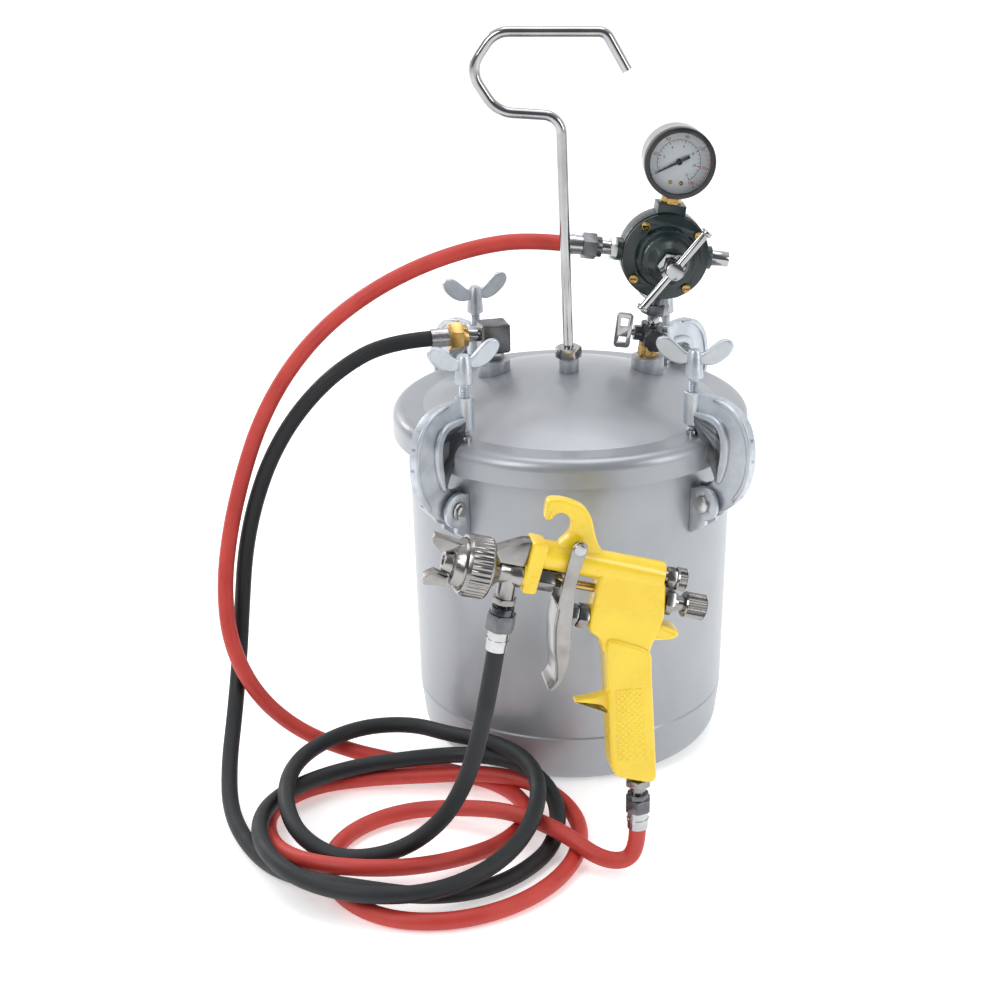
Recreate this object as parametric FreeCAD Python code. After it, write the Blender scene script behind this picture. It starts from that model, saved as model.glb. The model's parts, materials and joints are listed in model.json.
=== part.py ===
import FreeCAD, Part
import math
import os

V = FreeCAD.Vector
X, Y, Z = V(1, 0, 0), V(0, 1, 0), V(0, 0, 1)

# ---- driving dimensions, mm ------------------------------------------------
lid_r = 140.0             # outside radius of the lid's skirt
rim_z = 270.0             # top face of the rim that the gasket sits on
tank_r = lid_r - 12.0     # outside radius of the shell under the lid
tank_foot_r = tank_r - 4.0  # outside radius at the lap seam
seam_z = 44.0
wall = 2.0
pan_round = 18.0          # rounded bottom edge of the pan
rim_r = lid_r - 6.0
gasket_h = 6.0
lid_skirt_z = rim_z - 13.0
lid_wall = 2.5
lid_flat_r = lid_r - 24.0  # inner edge of the flat ring the clamps press on
lid_rise = 25.0           # height of the dome above the flat ring
lid_corner = 9.0
boss_top_z = rim_z + 38.0
port_r = 6.5              # thread in the two welded bosses
clamp_angles = {"front_left": 230.0, "front_right": 319.0, "back_left": 130.0, "back_right": 50.0}
pivot_r, pivot_z = lid_r - 1.0, rim_z - 41.0
pin_r = 4.0
screw_r = 4.0             # M8 wing screws
screw_at = lid_r - 18.0   # radius of the wing screw axes
sleeve_r = 7.2
pad_h = 4.2
lift = rim_z - 270.0      # how far the rim stands above the one the outlines are drawn for
spread = lid_r - 140.0    # how far the lid's edge lies outside the one they are drawn for
hose_r = 6.25
gauge_r = 27.5
body_r = 34.5             # regulator body

run_gap = 0.06            # running fit between a shaft and its bore, per side
side_gap = 0.35           # free gap beside a moving part

# ---- where the groups stand ------------------------------------------------
outlet_at = V(-60.5, 15.0, 0)
outlet_turn = 16.0        # the outlet elbow points left and a little forward
stack_at = V(61.5, 23.0, boss_top_z)
stack_lean = 7.5
stack_turn = 7.0
gun_at = V(3.85, -257.0, rim_z - 4.8)
gun_turn = 12.0
gun_pitch = 16.0
down = V(math.sin(math.radians(gun_pitch)), -math.cos(math.radians(gun_pitch)), 0)

lid_flat_z = rim_z + gasket_h + lid_wall
dome_R = (lid_flat_r**2 + lid_rise**2) / (2 * lid_rise)
dome_c = lid_flat_z + lid_rise - dome_R


# ---- shapes ----------------------------------------------------------------
def cyl(r, h, at=V(0, 0, 0), along=Z):
    return Part.makeCylinder(r, h, at, along)


def cone(r0, r1, h, at=V(0, 0, 0), along=Z):
    return Part.makeCone(r0, r1, h, at, along)


def tube(r_out, r_in, h, at=V(0, 0, 0), along=Z):
    return cyl(r_out, h, at, along).cut(cyl(r_in, h, at, along))


def box(lo, hi):
    return Part.makeBox(hi[0] - lo[0], hi[1] - lo[1], hi[2] - lo[2], V(*lo))


def prism(points, depth, direction):
    """Extrude a closed polygon of Vectors."""
    face = Part.Face(Part.makePolygon(points + [points[0]]))
    return face.extrude(direction * depth)


def hexagon(flats, h, at=V(0, 0, 0), along=Z, bore=0.0, turn=0.0):
    """Hexagonal nut with lightly turned corners; flats is the size across flats."""
    R = flats / math.sqrt(3)
    pts = [
        V(R * math.cos(math.radians(60 * k + turn)), R * math.sin(math.radians(60 * k + turn)), 0)
        for k in range(6)]
    nut = prism(pts, h, Z).common(cone(R * 0.93, R * 0.93 + h, h)).common(cone(R * 0.93 + h, R * 0.93, h))
    if bore:
        nut = nut.cut(cyl(bore, h))
    nut.Placement = FreeCAD.Placement(at, FreeCAD.Rotation(Z, along))
    return nut


def fused(*shapes):
    whole = shapes[0].multiFuse(list(shapes[1:])) if len(shapes) > 1 else shapes[0]
    return whole.removeSplitter()


def turned(points, at=V(0, 0, 0), along=Z):
    """Turn a closed (radius, height) outline around an axis."""
    face = Part.Face(Part.makePolygon([V(r, 0, z) for r, z in points + [points[0]]]))
    solid = face.revolve(V(0, 0, 0), Z, 360)
    solid.Placement = FreeCAD.Placement(at, FreeCAD.Rotation(Z, along))
    return solid


def arc(a, b, c):
    return Part.Arc(V(a[0], 0, a[1]), V(b[0], 0, b[1]), V(c[0], 0, c[1])).toShape()


def line(a, b):
    return Part.LineSegment(V(a[0], 0, a[1]), V(b[0], 0, b[1])).toShape()


def revolved(edges):
    return Part.Face(Part.Wire(edges)).revolve(V(0, 0, 0), Z, 360)


def bent_rod(points, radius, bends=None):
    """Round rod or hose: straight runs joined by tangent arcs. Returns solid and bend radii."""
    edges, start, radii = [], points[0], []
    for i in range(1, len(points) - 1):
        before, corner, after = points[i - 1], points[i], points[i + 1]
        u, w = (before - corner).normalize(), (after - corner).normalize()
        half_turn = (math.pi - u.getAngle(w)) / 2
        shorter = min((before - corner).Length, (after - corner).Length)
        R = bends[i - 1] if bends else 0.45 * shorter / math.tan(half_turn)
        reach = R * math.tan(half_turn)
        a, b = corner + u * reach, corner + w * reach
        mid = corner + (u + w).normalize() * (R / math.cos(half_turn) - R)
        if (a - start).Length > 0.01:
            edges.append(Part.LineSegment(start, a).toShape())
        edges.append(Part.Arc(a, mid, b).toShape())
        radii.append(R)
        start = b
    edges.append(Part.LineSegment(start, points[-1]).toShape())
    wire = Part.Wire(edges)
    ring = Part.Wire(Part.Circle(points[0], points[1] - points[0], radius).toShape())
    solid = wire.makePipeShell([ring], True, False)
    return solid, radii, wire.Length


def placed(shape, placement):
    out = shape.copy()
    out.Placement = placement.multiply(out.Placement)
    return out


def spun(shape, degrees):
    return placed(shape, FreeCAD.Placement(V(0, 0, 0), FreeCAD.Rotation(Z, degrees)))


parts = {}


# ---- tank ------------------------------------------------------------------
lip_z = seam_z + 9
shell_slope = (tank_r - tank_foot_r) / (lid_skirt_z - seam_z)
shell_top_r = tank_foot_r + shell_slope * (rim_z - seam_z)
parts["tank_shell"] = turned([
    (tank_foot_r, seam_z), (shell_top_r, rim_z - 5), (rim_r, rim_z - 4.5), (rim_r, rim_z),
    (shell_top_r - wall, rim_z), (tank_foot_r - wall, seam_z)])

foot_flat = tank_foot_r - 3 - pan_round
pan_side = tank_foot_r - 3
k = pan_round * (1 - math.sqrt(0.5))
i = pan_round - wall
ki = wall + i * (1 - math.sqrt(0.5))
lip_r = tank_foot_r - wall - 0.02
parts["base_pan"] = revolved([
    line((0, 0), (foot_flat, 0)),
    arc((foot_flat, 0), (pan_side - k, k), (pan_side, pan_round)),
    line((pan_side, pan_round), (tank_foot_r, seam_z - 2)),
    line((tank_foot_r, seam_z - 2), (tank_foot_r - 1, seam_z)),
    line((tank_foot_r - 1, seam_z), (lip_r, seam_z)),
    line((lip_r, seam_z), (lip_r, lip_z)),
    line((lip_r, lip_z), (lip_r - wall, lip_z)),
    line((lip_r - wall, lip_z), (lip_r - wall, seam_z - 4)),
    line((lip_r - wall, seam_z - 4), (pan_side - wall, pan_round)),
    arc((pan_side - wall, pan_round), (pan_side - ki, ki), (foot_flat, wall)),
    line((foot_flat, wall), (0, wall)),
    line((0, wall), (0, 0))])

tank_solid = turned(
    [
        (0, 0), (tank_foot_r, 0), (tank_foot_r, seam_z), (shell_top_r, rim_z - 5), (shell_top_r, rim_z),
        (0, rim_z)]
)


# ---- lid -------------------------------------------------------------------
def dome_z(r, offset=0.0):
    return dome_c + math.sqrt((dome_R - offset)**2 - r**2)


def lid_outline(offset, foot_z):
    """Open outline from the skirt's foot up over the corner to the crown."""
    R = lid_r - offset
    c = lid_corner - offset
    top = lid_flat_z - offset
    s = c * (1 - math.sqrt(0.5))
    crown = dome_z(0, offset)
    flat = math.sqrt((dome_R - offset)**2 - (top - dome_c)**2)
    return [
        line((R, foot_z), (R, top - c)),
        arc((R, top - c), (R - s, top - s), (R - c, top)),
        line((R - c, top), (flat, top)),
        arc((flat, top), (flat / 2, dome_z(flat / 2, offset)), (0, crown))], (R, foot_z), (0, crown)


outer, outer_foot, outer_crown = lid_outline(0, lid_skirt_z)
inner, inner_foot, inner_crown = lid_outline(lid_wall, lid_skirt_z)
under_lid = revolved(
    outer + [line(outer_crown, (0, 200)), line((0, 200), (lid_r, 200)), line((lid_r, 200), outer_foot)])
lid = under_lid.cut(revolved(
    inner + [line(inner_crown, (0, 190)), line((0, 190), (inner_foot[0], 190)),
    line((inner_foot[0], 190), inner_foot)]))
lid = lid.common(cyl(lid_r + 1, 100, V(0, 0, lid_skirt_z)))
stack_foot = V(stack_at.x, stack_at.y, 0)
hanger_at = V(-1, -3, 0)
for at in (outlet_at, stack_foot):
    lid = lid.cut(cyl(port_r, 60, at + V(0, 0, rim_z)))
parts["lid_shell"] = lid
parts["lid_gasket"] = tube(lid_r - lid_corner, lid_r - lid_corner - 11, gasket_h, V(0, 0, rim_z))

boss_r = 13.0
coupler_r = 7.8
coupler_top = rim_z + 45.0
bosses = [
    tube(boss_r, port_r, 40, at + V(0, 0, boss_top_z - 40)).cut(under_lid)
    for at in (outlet_at, stack_foot)]
coupler = cyl(coupler_r, 40, hanger_at + V(0, 0, coupler_top - 40)).cut(under_lid)

# ---- hanger ----------------------------------------------------------------
hanger_r = 4.0
hanger_line = [(-1, 306), (-7, 503), (-55, 506), (-75, 537), (-56, 565), (26, 565), (42, 537)]
hanger_bends = [14, 24, 20, 20, 9]
hanger_path = [V(x, hanger_at.y, z + lift) for x, z in hanger_line]
hanger = bent_rod(hanger_path, hanger_r, bends=hanger_bends)[0]
parts["hanger_rod"] = hanger
parts["lid_bosses"] = Part.makeCompound(bosses + [coupler.cut(hanger)])

nut_lean = math.degrees(math.atan2(-6, 197))
hanger_nut = hexagon(18, 8.5, bore=hanger_r)
hanger_nut.Placement = FreeCAD.Placement(V(-1.3, hanger_at.y, coupler_top), FreeCAD.Rotation(Y, nut_lean))
hanger_nut = hanger_nut.cut(hanger)
hanger_nut = hanger_nut.cut(cyl(coupler_r + 1, 20, hanger_at + V(0, 0, coupler_top - 20)))


# ---- clamps ----------------------------------------------------------------
def upright(points, y0, y1):
    """Plate from an (r, z) outline between two tangential positions."""
    return prism([V(r + spread, y0, z + lift) for r, z in points], y1 - y0, Y)


eye_r = 9.5
arm_web = [
    (134, 221), (141, 219.5), (152, 223), (165, 233), (174, 247), (178, 262), (178.5, 278),
    (175, 294), (168, 304), (157, 310.5), (142, 313), (122, 313), (122, 292), (140, 292.5),
    (147, 289), (150, 281), (150, 271), (148, 258), (144, 246), (134, 237.5)]
arm_rib = [
    (148, 258), (150, 271), (150, 281), (147, 289), (140, 292.5), (122, 292), (122, 299), (143, 299.5),
    (153, 295), (158, 285), (158.5, 270), (156, 257), (151, 245.5), (145.5, 248)]
arm_edge = [
    (165, 233), (174, 247), (178, 262), (178.5, 278), (175, 294), (168, 304), (157, 310.5), (142, 313),
    (142, 309), (155, 307), (164.5, 300.5), (171, 291.5), (174.5, 277), (174, 263), (170, 249), (161.5,
    236)]
sleeve_z0, sleeve_z1 = lid_flat_z + 8.6, rim_z + 43.0
web_t, rib_t, edge_t, eye_t = 2.6, 5.5, 4.2, 4.6
head_z = rim_z + 53.0     # foot of the wing screw's head
head_h = 22.0


def clamp_arm():
    arm = fused(
        upright(arm_web, -web_t, web_t), upright(arm_rib, -rib_t, rib_t), upright(
            arm_edge, -edge_t, edge_t),
        cyl(eye_r, 2 * eye_t, V(pivot_r, -eye_t, pivot_z), Y),
        cyl(sleeve_r, sleeve_z1 - sleeve_z0, V(screw_at, 0, sleeve_z0)))
    arm = arm.cut(cyl(pin_r + run_gap, 2 * eye_t + 2, V(pivot_r, -eye_t - 1, pivot_z), Y))
    return arm.cut(cyl(screw_r + run_gap, 60, V(screw_at, 0, sleeve_z0 - 10)))


def clamp_bracket():
    """Two ears on a saddle, welded to the shell."""
    ear_in = eye_t + side_gap
    ear_out = ear_in + 3.5
    outline = [(118, 203), (130, 203), (142, 212), (142, 240), (118, 240)]
    ears = []
    for side in (-1, 1):
        y0, y1 = sorted((side * ear_in, side * ear_out))
        ears.append(upright(outline, y0, y1))
        ears.append(cyl(13.5, y1 - y0, V(pivot_r, y0, pivot_z), Y))
    saddle = upright([(118, 203), (130, 203), (130, 214), (118, 214)], -ear_out, ear_out)
    bracket = fused(saddle, *ears).cut(tank_solid)
    return bracket.cut(cyl(pin_r, 40, V(pivot_r, -20, pivot_z), Y))


def clamp_pin():
    half = eye_t + side_gap + 3.5
    head = cyl(6.5, 3, V(pivot_r, -half - 3, pivot_z), Y)
    pin = fused(head, cyl(pin_r, 2 * half + 3 + 3.2, V(pivot_r, -half - 3, pivot_z), Y))
    return pin.cut(tube(pin_r + 1, pin_r - 0.8, 1.1, V(pivot_r, half + 0.4, pivot_z), Y))


def clamp_clip():
    half = eye_t + side_gap + 3.5
    clip = tube(7.0, pin_r - 0.8, 1.0, V(pivot_r, half + 0.45, pivot_z), Y)
    return clip.cut(box((pivot_r - 2.4, half, pivot_z - 12), (pivot_r + 2.4, half + 3, pivot_z - 1)))


def clamp_pad():
    pad = cyl(5.4, pad_h, V(screw_at, 0, lid_flat_z))
    return pad.cut(cyl(2.6 + run_gap, 2.2, V(screw_at, 0, lid_flat_z + pad_h - 2.2)))


def wing_screw():
    tip_z = lid_flat_z + pad_h - 2.15
    stem = fused(
        cyl(2.6, 3, V(screw_at, 0, tip_z)), cyl(
            screw_r, head_z - tip_z - 2.25, V(screw_at, 0, tip_z + 2.25)),
        cone(7.0, 5.0, head_h, V(screw_at, 0, head_z)))
    wings = []
    for side in (-1, 1):
        lobe = [
            (2, 339), (10, 336), (19, 339), (27, 346), (29.5, 352), (27, 357), (20, 357.5), (13, 352),
            (7, 346), (2, 345)]
        points = [V(screw_at, side * y, z - 3 + lift) for y, z in lobe]
        wing = prism(points, 4.4, X)
        wings.append(placed(wing, FreeCAD.Placement(V(-2.2, 0, 0), FreeCAD.Rotation())))
    return fused(stem, *wings)


arm_shape, bracket_shape = clamp_arm(), clamp_bracket()
pin_shape, clip_shape = clamp_pin(), clamp_clip()
pad_shape, screw_shape = clamp_pad(), wing_screw()
wing_turns = {"front_left": 68.0, "front_right": 121.0, "back_left": -12.0, "back_right": 75.0}
for name, angle in clamp_angles.items():
    parts["clamp_arm_" + name] = spun(arm_shape, angle)
    parts["clamp_pad_" + name] = spun(pad_shape, angle)
    axis_turn = FreeCAD.Placement(V(0, 0, 0), FreeCAD.Rotation(Z, wing_turns[name]), V(screw_at, 0, 0))
    parts["clamp_screw_" + name] = spun(placed(screw_shape, axis_turn), angle)
parts["clamp_brackets"] = Part.makeCompound([spun(bracket_shape, a) for a in clamp_angles.values()])
pins_and_clips = [spun(shape, a) for a in clamp_angles.values() for shape in (pin_shape, clip_shape)]
parts["clamp_pins"] = Part.makeCompound(pins_and_clips)


# ---- fluid outlet ----------------------------------------------------------
def hose_end(at, along, flats, nut_l, ferrule_l):
    """Swivel nut and crimped ferrule; the hose's end face is ferrule_l past the nut."""
    nut = fused(
        cyl(flats * 0.44, nut_l, at, along),
        hexagon(flats, nut_l * 0.72, at + along * (nut_l * 0.28), along))
    nut = nut.cut(cyl(4.8, nut_l, at, along))
    ferrule_at = at + along * nut_l
    ferrule = fused(
        cyl(hose_r + 1.2, ferrule_l, ferrule_at, along),
        cyl(hose_r + 1.7, 2.0, ferrule_at + along * (ferrule_l * 0.45), along))
    ferrule = ferrule.cut(cyl(3.2, ferrule_l, ferrule_at, along))
    return nut, ferrule, ferrule_at + along * ferrule_l


elbow_place = FreeCAD.Placement(outlet_at + V(0, 0, boss_top_z), FreeCAD.Rotation(Z, outlet_turn))
elbow_half = 11.5
elbow_z = 20.5
elbow = box((-elbow_half, -elbow_half + 1, 6.5), (elbow_half, elbow_half - 1, 30))
elbow = elbow.makeChamfer(1.6, elbow.Edges)
elbow = elbow.cut(cyl(6.0, 15, V(0, 0, 6.5))).cut(cyl(4.0, 12, V(0, 0, elbow_z), X * -1))
parts["outlet_elbow"] = placed(elbow, elbow_place)
outlet_nipple = fused(
    cyl(port_r, 16, V(0, 0, -16)), hexagon(15, 6.5), cyl(6.0, 6, V(0, 0, 6.5))
).cut(cyl(4.0, 60, V(0, 0, -20)))
side_nipple = fused(
    cyl(4.0, 12, V(-elbow_half + 8, 0, elbow_z), X * -1), cyl(5.2, 10, V(-elbow_half, 0, elbow_z), X * -1),
    cyl(4.8, 8, V(-elbow_half - 10, 0, elbow_z), X * -1)).cut(cyl(2.6, 60, V(0, 0, elbow_z), X * -1))
outlet_nut, outlet_ferrule, black_start = hose_end(
    V(-elbow_half - 10, 0, elbow_z), X * -1, 20.0, 15.0, 14.0)
black_start = elbow_place.multVec(black_start)
black_dir = elbow_place.Rotation.multVec(X * -1)
pickup = bent_rod([V(0, 0, -22), V(0, 0, -130), V(10, 0, -296)], 4.0, bends=[60])[0]
pickup = pickup.cut(bent_rod([V(0, 0, -22), V(0, 0, -130), V(10, 0, -296)], 2.9, bends=[60])[0])
pickup = fused(pickup, tube(port_r, 2.9, 6, V(0, 0, -22)))
parts["pickup_tube"] = placed(pickup, elbow_place)

# ---- air inlet stack -------------------------------------------------------
lean = FreeCAD.Rotation(Y, stack_lean)
stack_place = FreeCAD.Placement(stack_at, lean.multiply(FreeCAD.Rotation(Z, stack_turn)))
boss_place = FreeCAD.Placement(stack_at, FreeCAD.Rotation())


def on_stack(shape):
    return placed(shape, stack_place)


cross_z, reg_z, gauge_z = 18.0, 84.0, 130.5 + gauge_r
fill = cyl(40, 40, V(0, 0, -40))
inlet = fused(hexagon(15, 11, V(0, 0, 0.9)), cyl(5, 4, V(0, 0, 10)), cyl(port_r + 1.2, 3, V(0, 0, -0.8)))
inlet = on_stack(inlet).cut(placed(fill, boss_place))
inlet = fused(inlet, placed(cyl(port_r, 14, V(0, 0, -14)), boss_place))
inlet = inlet.cut(placed(cyl(3.4, 15, V(0, 0, -14.5)), boss_place)).cut(on_stack(cyl(3.4, 20, V(0, 0, -2))))
parts["inlet_nipple"] = inlet

cross = fused(
    cyl(9, 15, V(0, 0, 11.9)), cyl(6, 12, V(0, 0, cross_z), Y * -1), cyl(6, 14, V(0, 0, cross_z), X * -1),
    cyl(6, 12, V(0, 0, cross_z), X))
cross = cross.cut(cyl(5.0, 2.1, V(0, 0, 11.9))).cut(cyl(5, 5, V(0, 0, 22))).cut(cyl(3.4, 16, V(0, 0, 11)))
vent_bore = cyl(2.5 + run_gap, 14, V(0, 0, cross_z), Y * -1)
ring_bore = cyl(2.5 + run_gap, 16, V(0, 0, cross_z), X * -1)
parts["inlet_cross"] = on_stack(cross.cut(vent_bore).cut(ring_bore))

vent_knob = fused(
    cyl(2.5, 8.5, V(0, -4.5, cross_z), Y * -1), cone(8.0, 8.6, 3, V(0, -12.4, cross_z), Y * -1),
    cyl(8.6, 6, V(0, -15.4, cross_z), Y * -1))
flutes = [cyl(1.6, 10, V(9.4 * math.cos(math.radians(a)), -11.5, cross_z + 9.4 * math.sin(math.radians(a))), Y * -1)
          for a in range(0, 360, 45)]
for flute in flutes:
    vent_knob = vent_knob.cut(flute)
parts["vent_knob"] = on_stack(vent_knob)

ring_loop = box((-29, -1.8, cross_z - 13), (-16, 1.8, cross_z + 15)).cut(
    box((-25.6, -3, cross_z - 9), (-19.4, 3, cross_z - 4)))
ring_loop = ring_loop.cut(box((-25.6, -3, cross_z + 4), (-19.4, 3, cross_z + 11)))
ring_loop = ring_loop.makeFillet(3.0, [e for e in ring_loop.Edges if abs(e.Length - 3.6) < 0.01 and (
    e.BoundBox.XMax < -28 or e.BoundBox.XMin > -17)])
parts["relief_ring"] = on_stack(fused(ring_loop, cyl(2.5, 14, V(-16.5, 0, cross_z), X)))

riser = fused(cyl(5.0, 12, V(0, 0, 22)), cyl(4.4, 24, V(0, 0, 33)))
riser_nipple = riser.cut(cyl(2.6, 40, V(0, 0, 20)))
union_nut = fused(
    hexagon(19, 8.5, V(0, 0, 35)), tube(7.2, 4.4, 6, V(0, 0, 43.5))).cut(cyl(4.4, 20, V(0, 0, 34)))

# ---- regulator -------------------------------------------------------------
face_y = -8.0             # front face of the body's flange
back_y = 13.0
reg_c = V(0, 0, reg_z)


def front(r, y0, y1, z=reg_z, r_end=None):
    """Disc or cone along the regulator's front axis, from y0 forward to y1."""
    if r_end is None:
        return cyl(r, y0 - y1, V(0, y0, z), Y * -1)
    return cone(r, r_end, y0 - y1, V(0, y0, z), Y * -1)


reg_body = fused(
    front(body_r, back_y - 4, face_y), front(body_r - 6, back_y, back_y - 4, r_end=body_r),
    cyl(9.0, body_r + 3, reg_c, X), cyl(9.0, body_r + 3, reg_c, X * -1),
    cyl(8.5, body_r - 1, reg_c, Z * -1), box((-11, -9.5, reg_z), (11, 9.5, reg_z + body_r + 5.5)))
reg_body = reg_body.cut(front(19, 1, face_y)).cut(box((-60, face_y - 9, 30), (60, face_y, 150)))
for axis in (X, X * -1):
    reg_body = reg_body.cut(cyl(5.2, 12, reg_c + axis * (body_r - 8.9), axis))
    reg_body = reg_body.cut(cyl(3.0, 30, reg_c + axis * 8, axis))
reg_body = reg_body.cut(
    cyl(4.4, 9, reg_c - Z * (body_r - 8), Z * -1)).cut(cyl(4.4, 8, reg_c + Z * (body_r - 2), Z))
screw_spots = [
    (30.0 * math.cos(math.radians(a)), reg_z + 30.0 * math.sin(math.radians(a)))
    for a in (40, 130, 220, 310)]
bonnet = fused(
    front(body_r - 0.7, face_y, -12), front(24.5, -12, -19, r_end=22.5), front(20.5, -19, -28),
    front(17.0, -28, -34, r_end=12.5))
bonnet = bonnet.cut(front(16.5, face_y, -28)).cut(front(4.5 + run_gap, -27, -35))
screws = []
for x, z in screw_spots:
    screws.append(fused(cyl(1.8, 9, V(x, -5, z), Y * -1), cyl(3.4, 2.2, V(x, -12, z), Y * -1)))
    screws[-1] = screws[-1].cut(box((x - 2.6, -14.4, z - 0.5), (x + 2.6, -13.2, z + 0.5)))
    screw_hole = cyl(1.8, 9, V(x, -5, z), Y * -1)
    reg_body, bonnet = reg_body.cut(screw_hole), bonnet.cut(screw_hole)
parts["regulator_body"] = on_stack(reg_body)
parts["regulator_bonnet"] = on_stack(bonnet)
parts["bonnet_screws"] = on_stack(Part.makeCompound(screws))

seat_travel = 8.0
seat = front(15.8, -14, -17).fuse(front(8, -17, -20)).removeSplitter()
parts["spring_seat"] = on_stack(seat.cut(front(3.0, -18.5, -21)))
bar_turn = 33.0
bar_y = -50.0
bar_r = 3.0
adjuster = fused(front(2.94, -18.5, -22), front(4.5, -22, -44), front(6.6, -44, -55)).cut(
    cyl(bar_r + run_gap, 30, V(0, bar_y, reg_z - 15), Z))
turn_bar = FreeCAD.Placement(V(0, 0, 0), FreeCAD.Rotation(Y, bar_turn), V(0, bar_y, reg_z))
parts["adjusting_screw"] = on_stack(placed(adjuster, turn_bar))
tee_bar = fused(cyl(bar_r, 72, V(0, bar_y, reg_z - 36), Z), cyl(bar_r + 1.4, 3, V(0, bar_y, reg_z - 39), Z),
                cyl(bar_r + 1.4, 3, V(0, bar_y, reg_z + 36), Z))
parts["adjusting_bar"] = on_stack(placed(tee_bar, turn_bar))
lock_nut = placed(
    hexagon(19, 5.5, bore=4.5 + run_gap), FreeCAD.Placement(V(0, -34.0, reg_z), FreeCAD.Rotation(X, 90)))
parts["lock_nuts"] = Part.makeCompound([hanger_nut, on_stack(lock_nut)])

air_in = fused(cyl(5.2, 9, reg_c + X * (body_r - 6), X), cyl(6.0, 14, reg_c + X * (body_r + 3), X)).cut(
    cyl(3.6, 40, reg_c + X * (body_r - 8), X))
air_out = fused(
    cyl(5.2, 9, reg_c - X * (body_r - 6), X * -1), hexagon(16, 5, reg_c - X * (body_r + 3), X * -1),
    cyl(5.4, 7, reg_c - X * (body_r + 8), X * -1), cyl(4.8, 9, reg_c - X * (body_r + 15), X * -1)).cut(
    cyl(2.6, 60, reg_c, X * -1))
air_nut, air_ferrule, red_start = hose_end(reg_c - X * (body_r + 15), X * -1, 18.0, 15.0, 14.0)
red_start, red_dir = stack_place.multVec(red_start), stack_place.Rotation.multVec(X * -1)

# ---- gauge -----------------------------------------------------------------
case_t = 22.0
stem_top = gauge_z - gauge_r - 0.5
gauge_front = -11.0
gauge_case = fused(front(gauge_r - 1.0, gauge_front + case_t, gauge_front, z=gauge_z)).cut(
    front(gauge_r - 2.2, gauge_front + case_t - 1.5, gauge_front, z=gauge_z))
gauge_case = gauge_case.cut(cyl(5.0, 14, V(0, 0, stem_top - 2), Z))
parts["gauge_case"] = on_stack(gauge_case)
bezel = fused(
    tube(gauge_r, gauge_r - 1.0, 5.0, V(0, gauge_front + 4, gauge_z), Y * -1),
    tube(gauge_r, gauge_r - 4.0, 2.2, V(0, gauge_front - 1.0, gauge_z), Y * -1))
bezel = bezel.cut(front(gauge_r - 1.0, gauge_front + 5, gauge_front, z=gauge_z))
parts["gauge_bezel"] = on_stack(bezel)
dial_y = gauge_front + 5.0
parts["gauge_dial"] = on_stack(
    front(gauge_r - 2.2, dial_y + 1.2, dial_y, z=gauge_z).cut(
        front(0.8 + run_gap, dial_y + 2, dial_y - 1, z=gauge_z))
)
parts["gauge_glass"] = on_stack(front(gauge_r - 2.2, gauge_front + 1.0, gauge_front - 1.0, z=gauge_z))
pointer = fused(
    front(0.8, dial_y + 4, dial_y - 2.0, z=gauge_z), front(2.4, dial_y - 1.0, dial_y - 2.2, z=gauge_z),
    prism([V(-1.1, dial_y - 1.2, gauge_z - 9), V(1.1, dial_y - 1.2, gauge_z - 9), V(0.35, dial_y - 1.2, gauge_z + 19),
           V(-0.35, dial_y - 1.2, gauge_z + 19)], 0.8, Y * -1))
pointer_turn = -122.0
parts["gauge_pointer"] = on_stack(placed(
    pointer, FreeCAD.Placement(V(0, 0, 0), FreeCAD.Rotation(Y, pointer_turn), V(0, 0, gauge_z))))
boss_z = reg_z + body_r + 5.5
stem = fused(
    cyl(4.4, 8, V(0, 0, boss_z - 7.5)), hexagon(14, stem_top - boss_z - 1, V(0, 0, boss_z)),
    cyl(5.0, 3.5, V(0, 0, stem_top - 2))).cut(cyl(1.8, 30, V(0, 0, boss_z - 9)))
parts["gauge_stem"] = on_stack(stem)

# ---- spray gun -------------------------------------------------------------
turn_y = FreeCAD.Rotation(Z, gun_turn)
gun_rotation = turn_y.multiply(FreeCAD.Rotation(X, 90)).multiply(FreeCAD.Rotation(Z, -gun_pitch))
gun_place = FreeCAD.Placement(gun_at, gun_rotation)


def on_gun(shape):
    return placed(shape, gun_place)


def slab(points, half):
    return prism([V(x, y, -half) for x, y in points], 2 * half, Z)


nose_y = -30.0            # height of the fluid axis below the trigger pivot
air_y = -12.5             # height of the air passage
pivot_pin_r = 2.5
hook = [
    (-28.5, 27), (-21, 29), (-11, 28.7), (-1.5, 26.5), (5, 20), (10, 9.5), (15.5, 1), (21, -3.4), (21, -14),
    (-12, -14), (-12.5, -2), (-7.4, 4.5), (-6.3, 10.5), (-9.5, 17), (-15.5, 20.2), (-20.5, 18), (-22, 13),
    (-27, 12.3)]
block = [
    (19, -2.9), (65.5, -2), (74, -36), (74.2, -52), (71.5, -62), (72.5, -74), (38, -74), (34.5, -63),
    (24, -60), (22, -40), (20, -20)]
handle = [
    (36.5, -60), (71.8, -64), (75.5, -77), (107, -161.5), (104, -164.5), (74, -163.5), (69.5, -159),
    (54, -111), (47, -91)]
spur = [
    (52, -103), (48.6, -106), (41, -110), (31.5, -113), (31.3, -115.5), (50.5, -114), (60, -121), (62, -108)
]
tail = [(68, -44.5), (86, -47), (89, -50.5), (86, -54.5), (68, -59)]
flange = [(-20, -3), (-31, -2.7), (-29.5, -39.5), (-20, -39)]
body = fused(
    slab(hook, 5.0), slab(block, 10.5), slab(handle, 11.5), slab(spur, 4.0), slab(tail, 7.5),
    cyl(10.0, 50, V(-29, air_y, 0), X), slab(flange, 10.0), cyl(10.0, 10, V(-31, nose_y + 1.5, 0), X))
valve_at = V(23.0, -51.5, 0)
handle_foot = V(94, -163, 0)
body = body.cut(cyl(pivot_pin_r, 40, V(0, 0, -20)))
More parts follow.
